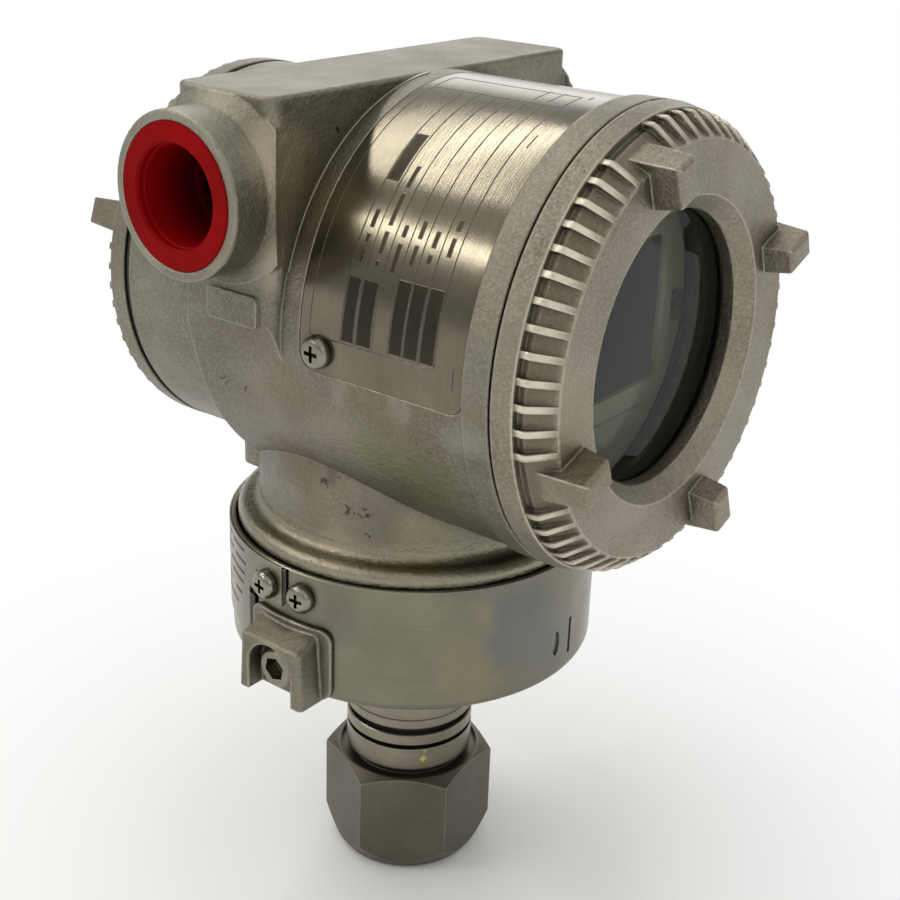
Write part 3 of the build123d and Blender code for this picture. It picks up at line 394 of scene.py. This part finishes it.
HOUSING_SPOTS = (
    ((-45.6, 9.4, 142.1), 17.5, (0.40, 0.385, 0.315), 0.85),        # left entry's face
    ((-33.8, -27.9, 99.8), 11.0, (0.165, 0.160, 0.080), 0.60),    # olive film under the barrel
    ((-35.2, -20.7, 102.5), 7.0, (0.20, 0.195, 0.095), 0.6),
    ((-29.9, 4.0, 94.2), 9.0, (0.17, 0.135, 0.095), 0.5),
    ((-36.5, -12.0, 104.0), 6.0, (0.25, 0.20, 0.15), 0.55),      # rosy patch
    ((-38.3, -27.2, 112.1), 4.0, (0.36, 0.35, 0.29), 0.30),      # pale chalky patches along the plate
    ((-38.9, -40.5, 110.5), 5.0, (0.38, 0.37, 0.31), 0.32),
    ((-38.2, -14.5, 112.0), 3.5, (0.34, 0.33, 0.27), 0.28),
    ((-27.0, -14.0, 86.0), 8.0, (0.15, 0.130, 0.100), 0.5),      # neck
    ((-29.2, -3.2, 91.0), 2.6, (0.105, 0.092, 0.066), 0.6),
    ((-22.7, -19.6, 80.2), 8.0, (0.28, 0.245, 0.130), 0.45),     # yellow stained patch on the foot's round; the paler second one is partly a painted highlight
    ((-29.7, -7.3, 78.7), 6.0, (0.34, 0.300, 0.180), 0.5),
    ((-31.0, -2.4, 138.0), 16.0, (0.225, 0.200, 0.125), 0.55),   # block front
    ((-39.5, -2.5, 148.0), 9.0, (0.46, 0.40, 0.285), 0.65),      # painted highlight on the flare beside the left entry
    ((-39.0, -2.0, 131.5), 7.0, (0.38, 0.350, 0.280), 0.6),
    ((-25.4, -2.4, 151.2), 0.7, (0.012, 0.009, 0.006), 0.9),    # small dark pit
)
HOUSING_CRACKS = (
    ((-29.3, -3.4, 90.2), 1.2),
    ((-28.4, -8.2, 86.2), 1.4),
    ((-27.5, -10.8, 86.0), 1.3),
    ((-27.1, -11.7, 82.4), 1.0),
    ((-37.0, 12.6, 107.4), 1.5),
    ((-36.6, 7.8, 107.0), 1.0),
)
CUP_STAINS = (
    ((-12.0, -33.0, 66.0), 11.0, (0.140, 0.152, 0.160), 0.60),   # blue grey heat tint
    ((-2.0, -35.0, 60.0), 8.0, (0.145, 0.157, 0.162), 0.5),
    ((-20.5, -28.5, 62.0), 7.0, (0.250, 0.222, 0.128), 0.55),    # straw
    ((-17.5, -30.3, 69.5), 4.0, (0.255, 0.222, 0.125), 0.55),
    ((-19.0, -29.5, 55.0), 6.0, (0.235, 0.208, 0.120), 0.45),
    ((-29.0, -19.5, 68.0), 7.0, (0.170, 0.170, 0.120), 0.5),
    ((-33.3, -10.6, 66.0), 6.0, (0.150, 0.135, 0.105), 0.5),
    ((-33.3, -9.0, 71.5), 4.0, (0.130, 0.112, 0.085), 0.35),
)
STEM_STAINS = (
    ((-7.8, -10.0, 25.0), 0.8, (0.62, 0.56, 0.07), 0.9),
    ((-7.6, -10.2, 26.8), 0.7, (0.45, 0.38, 0.08), 0.7),
    ((-7.4, -10.4, 22.8), 1.6, (0.22, 0.190, 0.07), 0.5),
)

MATERIALS = {
    # Housing: the foot's round, below Z 79 to 81.5, is polished and lighter in colour as a painted highlight.
    "housing": cast_metal("housing_cast", LIGHT, DARK, HOUSING_SPOTS, HOUSING_CRACKS, polish_and_sheen=(79.0, 81.5)),
    # Front cover: the light colour on its edges and rib tips is partly worn metal and partly a painted glint.
    "front_cover": cast_metal("cover_cast", (0.300, 0.272, 0.215), (0.205, 0.184, 0.140), grain=1.2,
                              wear_and_glint=(0.85, 0.79, 0.64), ribs=True),
    "rear_cover": cast_metal("rear_cover_cast", LIGHT, DARK, grain=1.2, round_mm=0.4),
    "lock_guard": cast_metal("guard_cast", (0.20, 0.185, 0.140), (0.145, 0.132, 0.098), grain=0.5,
                             round_mm=0.7, wear_and_glint=(0.66, 0.60, 0.48)),
    "sensor_cup": turned_metal("cup_steel", (0.225, 0.212, 0.160), (0.175, 0.165, 0.125), CUP_STAINS,
                               rough=(0.24, 0.36)),
    "turned": turned_metal("turned_steel", (0.31, 0.288, 0.225), (0.20, 0.183, 0.138), STEM_STAINS,
                           rough=(0.26, 0.40), crease_shade_level=0.40),
    "hexagon": turned_metal("hexagon_steel", (0.178, 0.163, 0.124), (0.128, 0.116, 0.088),
                            rough=(0.36, 0.50)),
    "plate": turned_metal("plate_steel", (0.205, 0.184, 0.138), (0.150, 0.133, 0.097),
                          rough=(0.15, 0.21), axis=1),
    "tag": turned_metal("tag_steel", (0.26, 0.240, 0.185), (0.20, 0.185, 0.140),
                        rough=(0.26, 0.36), lines=0.12),
    "screw": turned_metal("screw_steel", (0.36, 0.335, 0.275), (0.20, 0.185, 0.145), rough=(0.20, 0.34)),
    # Seam bead: light colour, partly a painted highlight.
    "bead": turned_metal("bead_steel", (0.62, 0.56, 0.44), (0.50, 0.45, 0.35), rough=(0.25, 0.38)),
    # Dark marks: print on the nameplate and tag, and painted shadow in the tag's slits.
    "marks_and_gap_shadow": turned_metal("dark_marks_and_gap_shadow", (0.062, 0.052, 0.036), (0.042, 0.035, 0.024),
                           rough=(0.38, 0.5), axis=1),
    # Red dust plug: painted shade deep in its hollow.
    "red": plastic("red_plastic", (0.285, 0.0016, 0.0024), (0.20, 0.0016, 0.0026), 0.42, bump=0.05,
                   dust=0.006, shine=0.03, hollow_shade=(-49.8, -44.5, (-36.0, 9.4, 142.1))),
    "rubber": plastic("black_rubber", (0.010, 0.010, 0.010), (0.005, 0.005, 0.005), 0.55, dust=0.01),
    "black": plastic("black_moulding", (0.016, 0.016, 0.017), (0.008, 0.008, 0.009), 0.35, dust=0.02),
    "display": plastic("display_moulding", (0.250, 0.265, 0.170), (0.200, 0.215, 0.135), 0.45),
    "screen": plastic("dark_screen", (0.0095, 0.0120, 0.0105), (0.0075, 0.0095, 0.0085), 0.30, bump=0.0,
                      dust=0.004, shine=0.0),
    "window": glass("window_glass_clear"),
    "board": board_green("board_laminate"),
    "gold": turned_metal("gold_plate", (0.80, 0.58, 0.22), (0.66, 0.46, 0.17), rough=(0.2, 0.3)),
    "sheath": plastic("lead_sheath", (0.16, 0.16, 0.17), (0.10, 0.10, 0.11), 0.5),
}

USED = {
    "process_connection": "hexagon", "stem_collar": "turned", "stem_ring": "turned", "sensor_stem": "turned",
    "isolating_diaphragm": "screw", "sensor_capsule": "turned", "capsule_header": "turned",
    "header_pins": "gold", "sensor_lead": "sheath", "sensor_cup": "sensor_cup", "lock_guard": "lock_guard",
    "lock_screw": "turned", "tag_plate": "tag", "band_screws": "screw", "hub_clip": "screw",
    "neck_o_ring": "rubber", "housing": "housing", "nameplate": "plate", "nameplate_screws": "screw",
    "amplifier_case": "black", "amplifier_screws": "screw", "main_board": "board", "power_board": "board",
    "board_connector": "black", "board_parts": "black", "display_case": "display",
    "display_screen": "screen", "display_board": "board", "display_screws": "black",
    "lead_socket": "black", "amplifier_lead": "sheath", "bulkhead_feedthrough": "black",
    "feedthrough_pins": "gold", "terminal_block": "black", "terminal_clamps": "screw",
    "terminal_screws": "screw", "terminal_block_screws": "screw", "ground_clamp": "screw",
    "ground_screw": "screw", "blanking_plug": "turned", "dust_plug": "red", "zero_screw": "turned",
    "zero_screw_o_ring": "rubber", "front_cover": "front_cover", "glass_gasket": "rubber",
    "window_glass": "window", "glass_retainer": "black", "front_cover_o_ring": "rubber",
    "rear_cover": "rear_cover", "rear_cover_o_ring": "rubber",
}


def dress_nodes():
    for name, obj in nodes.items():
        obj.data.materials.clear()
        obj.data.materials.append(MATERIALS[USED[name]])


# Marks, trim and threads

def curved_bars(name, rows, axis, material, body):
    """Closed bars that follow a round surface. A row: radius from, to, angle from, to, height from, to."""
    mesh = bmesh.new()
    for r0, r1, a0, a1, h0, h1 in rows:
        steps = max(1, round(abs(a1 - a0) / 1.5))
        rings = []
        for i in range(steps + 1):
            a = radians(a0 + (a1 - a0) * i / steps)
            ring = []
            for r, h in ((r0, h0), (r0, h1), (r1, h1), (r1, h0)):
                across, up = r * cos(a), r * sin(a)
                place = (across, h, ZC + up) if axis == "cover" else (across, up, h)
                ring.append(mesh.verts.new([v * MM for v in place]))
            rings.append(ring)
        for one, two in zip(rings, rings[1:]):
            for k in range(4):
                mesh.faces.new((one[k], one[(k + 1) % 4], two[(k + 1) % 4], two[k]))
        mesh.faces.new(rings[0])
        mesh.faces.new(rings[-1][::-1])
    bmesh.ops.recalc_face_normals(mesh, faces=mesh.faces)
    data = bpy.data.meshes.new(name)
    mesh.to_mesh(data)
    mesh.free()
    data.materials.append(MATERIALS[material])
    piece = bpy.data.objects.new(name, data)
    bpy.context.scene.collection.objects.link(piece)
    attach(piece, body)
    return piece


# Marks on the nameplate: angle round the cover axis in degrees, place along Y in millimetres
PLATE_RADII = (38.80, 38.895)
PLATE_ENDS = (-34.0, -8.6)
PLATE_LINES = (-15.1, -18.1, -21.6, -24.7, -27.6, -30.8)
PLATE_ANGLES = (94.0, 102.6, 176.8)
LABEL_FIELDS = (
    (160.7, 176.2, -17.8, -15.3), (160.7, 176.2, -21.3, -18.3), (158.8, 175.9, -27.5, -24.9),
    (158.8, 175.9, -30.6, -27.8), (158.8, 175.9, -33.8, -31.0), (122.5, 136.7, -17.7, -15.3),
)
BAR_ROWS = (
    (-16.6, 157.5, (3.4, 2.2, 4.6)), (-19.9, 157.5, (1.6, 5.4, 8.2, 6.0)), (-23.1, 158.0, (7.0, 3.0)),
    (-26.2, 155.5, (5.0, 4.4)), (-29.2, 154.0, (2.2, 4.0)), (-32.4, 151.5, (4.6, 3.0)),
)
BAR_GAP = 1.5
SHORT_LINES = ((93.0, 101.0, -27.8), (93.0, 101.0, -30.6))
TICKS = ((116.0, 120.6, -35.6), (175.0, 180.0, -37.5), (92.5, 95.0, -35.6))


def plate_marks():
    """The nameplate's ruled frame and lines, bare fields, plain bars and three short ticks."""
    half_line, half_turn, half_bar, half_tick = 0.10, 0.15, 0.42, 0.13
    first, middle, last = PLATE_ANGLES
    low, high = PLATE_ENDS
    rows = [(*PLATE_RADII, first, last, y - half_line, y + half_line) for y in PLATE_ENDS]
    rows += [(*PLATE_RADII, middle, last, y - half_line, y + half_line) for y in PLATE_LINES]
    rows += [(*PLATE_RADII, a - half_turn, a + half_turn, low, high) for a in PLATE_ANGLES]
    rows += [(*PLATE_RADII, *field) for field in LABEL_FIELDS]
    for y, a, lengths in BAR_ROWS:
        for length in lengths:
            rows.append((*PLATE_RADII, a - length, a, y - half_bar, y + half_bar))
            a -= length + BAR_GAP
    rows += [(*PLATE_RADII, a0, a1, y - half_line, y + half_line) for a0, a1, y in SHORT_LINES]
    rows += [(*PLATE_RADII, a0, a1, y - half_tick, y + half_tick) for a0, a1, y in TICKS]
    curved_bars("nameplate_marks", rows, "cover", "marks_and_gap_shadow", "housing")


# Marks on the tag: angle round the stem axis in degrees, height in millimetres
TAG_RADII = (35.36, 35.455)
# Dark bars painted as the shadow in the tag's slits.
TAG_SLITS = ((178.2, 179.3, 67.3, 74.2), (165.6, 166.2, 68.7, 71.3), (161.6, 164.6, 59.3, 65.3))
TAG_LINES = (
    (72.6, ((148, 158), (132, 145), (110, 128))), (70.2, ((150, 159), (138, 147))),
    (67.9, ((144, 158), (120, 140))), (65.9, ((146, 157),)), (63.2, ((150, 155.6), (125, 143))),
    (60.6, ((128, 152),)),
)


def tag_marks():
    """The tag's slits, as dark bars of painted shadow, and plain worn lines."""
    half_line = 0.35
    rows = [(*TAG_RADII, *slit) for slit in TAG_SLITS]
    for z, spans in TAG_LINES:
        rows += [(*TAG_RADII, a0, a1, z - half_line, z + half_line) for a0, a1 in spans]
    curved_bars("tag_marks", rows, "cup", "marks_and_gap_shadow", LOWER_BODY)


def rim_bead():
    """The casting's thin bright seam between the barrel and the block; its light colour is partly a painted
    highlight.
    """
    rows = [(38.80, 39.08, 94.0, 164.0, -2.95, -2.45)]
    bead = curved_bars("rim_bead", rows, "cover", "bead", "housing")
    bevel = bead.modifiers.new("soft", "BEVEL")
    bevel.width = 0.10 * MM
    bevel.segments = 2
    bevel.limit_method = "ANGLE"


def thread_tree():
    """Geometry Nodes: one ridge wound round Z, ends capped, then tilted about X and moved to Start."""
    tree = bpy.data.node_groups.new("thread_ridge", "GeometryNodeTree")
    face = tree.interface
    face.new_socket("Geometry", in_out="OUTPUT", socket_type="NodeSocketGeometry")
    sizes = {}
    for name in ("Radius", "Length", "Turns", "Ridge", "Start X", "Start Y", "Start Z", "Tilt"):
        sizes[name] = face.new_socket(name, in_out="INPUT", socket_type="NodeSocketFloat").identifier
    paint_socket = face.new_socket("Material", in_out="INPUT", socket_type="NodeSocketMaterial")
    sizes["Material"] = paint_socket.identifier
    inner = tree.nodes.new("NodeGroupInput")
    outer = tree.nodes.new("NodeGroupOutput")
    spiral = tree.nodes.new("GeometryNodeCurveSpiral")
    spiral.inputs["Resolution"].default_value = 48
    link = tree.links.new
    link(inner.outputs["Turns"], spiral.inputs["Rotations"])
    link(inner.outputs["Radius"], spiral.inputs["Start Radius"])
    link(inner.outputs["Radius"], spiral.inputs["End Radius"])
    link(inner.outputs["Length"], spiral.inputs["Height"])
    normal = tree.nodes.new("GeometryNodeSetCurveNormal")
    normal.mode = "Z_UP"
    profile = tree.nodes.new("GeometryNodeCurvePrimitiveCircle")
    profile.inputs["Resolution"].default_value = 4
    link(inner.outputs["Ridge"], profile.inputs["Radius"])
    sweep = tree.nodes.new("GeometryNodeCurveToMesh")
    sweep.inputs["Fill Caps"].default_value = True
    place = tree.nodes.new("GeometryNodeTransform")
    shift = tree.nodes.new("ShaderNodeCombineXYZ")
    turn = tree.nodes.new("ShaderNodeCombineXYZ")
    for axis in "XYZ":
        link(inner.outputs["Start " + axis], shift.inputs[axis])
    link(inner.outputs["Tilt"], turn.inputs["X"])
    real = tree.nodes.new("GeometryNodeRealizeInstances")
    paint = tree.nodes.new("GeometryNodeSetMaterial")
    link(spiral.outputs[0], normal.inputs[0])
    link(normal.outputs[0], sweep.inputs[0])
    link(profile.outputs[0], sweep.inputs["Profile Curve"])
    link(sweep.outputs[0], place.inputs[0])
    link(shift.outputs[0], place.inputs["Translation"])
    link(turn.outputs[0], place.inputs["Rotation"])
    link(place.outputs[0], real.inputs[0])
    link(real.outputs[0], paint.inputs[0])
    link(inner.outputs["Material"], paint.inputs["Material"])
    link(paint.outputs[0], outer.inputs[0])
    return tree, sizes


def add_thread(kit, name, body, radius, length, turns, ridge, start, tilt):
    """One thread ridge: sizes in millimetres, tilt in degrees, kit from thread_tree."""
    tree, sizes = kit
    host = bpy.data.objects.new(name + "_maker", bpy.data.meshes.new(name + "_maker"))
    bpy.context.scene.collection.objects.link(host)
    maker = host.modifiers.new("thread", "NODES")
    maker.node_group = tree
    values = {"Radius": radius * MM, "Length": length * MM, "Turns": float(turns), "Ridge": ridge * MM,
              "Start X": start[0] * MM, "Start Y": start[1] * MM, "Start Z": start[2] * MM,
              "Tilt": radians(tilt)}
    for key, value in values.items():
        maker[sizes[key]] = value
    maker[sizes["Material"]] = MATERIALS["turned"]
    bpy.context.view_layer.update()
    graph = bpy.context.evaluated_depsgraph_get()
    data = bpy.data.meshes.new_from_object(host.evaluated_get(graph))
    bpy.data.objects.remove(host)
    mesh = bmesh.new()
    mesh.from_mesh(data)
    bmesh.ops.remove_doubles(mesh, verts=mesh.verts, dist=1e-7)
    bmesh.ops.recalc_face_normals(mesh, faces=mesh.faces)
    mesh.to_mesh(data)
    mesh.free()
    piece = bpy.data.objects.new(name, data)
    bpy.context.scene.collection.objects.link(piece)
    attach(piece, body)


# Light, floor and backdrop, in metres

LIGHT_AIM = Vector((0, 0, 0.11))
FLOOR_HALF = 40.0
FLOOR_DROP = 0.0002        # the floor lies this far under the part
SHADOW_ENDS = (0.045, 0.15)


def area_light(name, way, far, size, level, color):
    """A soft box in direction way from the object, with a given brightness of its face."""
    data = bpy.data.lights.new(name, "AREA")
    data.shape = "RECTANGLE"
    data.size, data.size_y = size
    data.energy = level * pi * size[0] * size[1]
    data.color = color
    light = bpy.data.objects.new(name, data)
    way = Vector(way).normalized()
    light.location = LIGHT_AIM + way * far
    light.rotation_euler = (-way).to_track_quat("-Z", "Y").to_euler()
    light.visible_camera = False
    bpy.context.scene.collection.objects.link(light)


def set_world():
    """A plain sky: white at the horizon, a grey band above it, paler overhead."""
    world = bpy.data.worlds.new("studio")
    bpy.context.scene.world = world
    world.use_nodes = True
    tree = world.node_tree
    tree.nodes.clear()
    out = tree.nodes.new("ShaderNodeOutputWorld")
    room = tree.nodes.new("ShaderNodeBackground")
    place = tree.nodes.new("ShaderNodeTexCoord")
    split = tree.nodes.new("ShaderNodeSeparateXYZ")
    ramp = tree.nodes.new("ShaderNodeValToRGB")
    bands = ramp.color_ramp.elements
    bands[0].position, bands[0].color = 0.05, (1, 1, 1, 1)       # pale backdrop low on the horizon
    bands[1].position, bands[1].color = 1.0, (0.95, 0.94, 0.92, 1)
    bands.new(0.11).color = (0.40, 0.40, 0.39, 1)
    tree.links.new(place.outputs["Generated"], split.inputs[0])
    tree.links.new(split.outputs["Z"], ramp.inputs["Fac"])
    tree.links.new(ramp.outputs["Color"], room.inputs["Color"])
    tree.links.new(room.outputs[0], out.inputs["Surface"])


def set_floor():
    """Pale floor that keeps the shadow near the object and goes over to plain white further out."""
    s = Shade("floor_white", roughness=0.9)
    tone = s.mix(s.ramp(s.noise(3, 2), 0.4, 0.6), (0.90, 0.90, 0.90), (0.92, 0.92, 0.92))
    s.finish(tone)
    far = s.add("ShaderNodeVectorMath")
    far.operation = "LENGTH"
    s.put(s.place, far.inputs[0])
    away = s.ramp(far.outputs["Value"], *SHADOW_ENDS)
    path = s.add("ShaderNodeLightPath")
    seen = s.math("MAXIMUM", path.outputs["Is Camera Ray"], path.outputs["Is Glossy Ray"])
    seen = s.math("MAXIMUM", seen, path.outputs["Is Transmission Ray"])
    white = s.add("ShaderNodeEmission")
    white.inputs["Color"].default_value = (1, 1, 1, 1)
    mix = s.add("ShaderNodeMixShader")
    s.put(s.math("MULTIPLY", away, seen), mix.inputs[0])
    s.put(s.bsdf.outputs[0], mix.inputs[1])
    s.put(white.outputs[0], mix.inputs[2])
    out = [node for node in s.tree.nodes if node.type == "OUTPUT_MATERIAL"][0]
    s.put(mix.outputs[0], out.inputs[0])
    mesh = bpy.data.meshes.new("floor")
    corners = [(x * FLOOR_HALF, y * FLOOR_HALF, 0) for x, y in ((-1, -1), (1, -1), (1, 1), (-1, 1))]
    mesh.from_pydata(corners, [], [(0, 1, 2, 3)])
    mesh.materials.append(s.material)
    floor = bpy.data.objects.new("floor", mesh)
    floor.location.z = -FLOOR_DROP
    bpy.context.scene.collection.objects.link(floor)


set_camera()
set_world()
set_floor()
area_light("upper_strip", (0.084, 0.56, 0.825), 0.9, (0.70, 0.055), 13.0, (1.0, 0.985, 0.95))
area_light("lower_strip", (-0.597, 0.56, 0.575), 0.9, (0.70, 0.060), 12.0, (1.0, 0.98, 0.94))
area_light("back", (0.744, 0.56, 0.33), 1.1, (0.7, 0.38), 1.5, (1.0, 0.99, 0.97))
area_light("front", (-0.35, -0.80, 0.50), 0.9, (0.35, 0.35), 1.2, (1.0, 0.99, 0.97))
dress_nodes()
plate_marks()
tag_marks()
rim_bead()
threads = thread_tree()
add_thread(threads, "front_cover_thread", "front_cover", radius=35.3, length=8.0, turns=4, ridge=0.28,
           start=(0, -35.6, ZC), tilt=90)
add_thread(threads, "rear_cover_thread", "rear_cover", radius=32.3, length=6.0, turns=3, ridge=0.28,
           start=(0, 36.0, ZC), tilt=90)
add_thread(threads, "port_thread", LOWER_BODY, radius=9.1, length=13.5, turns=7, ridge=0.30,
           start=(0, 0, 1.2), tilt=0)

view = bpy.context.scene.view_settings
view.view_transform = "Standard"
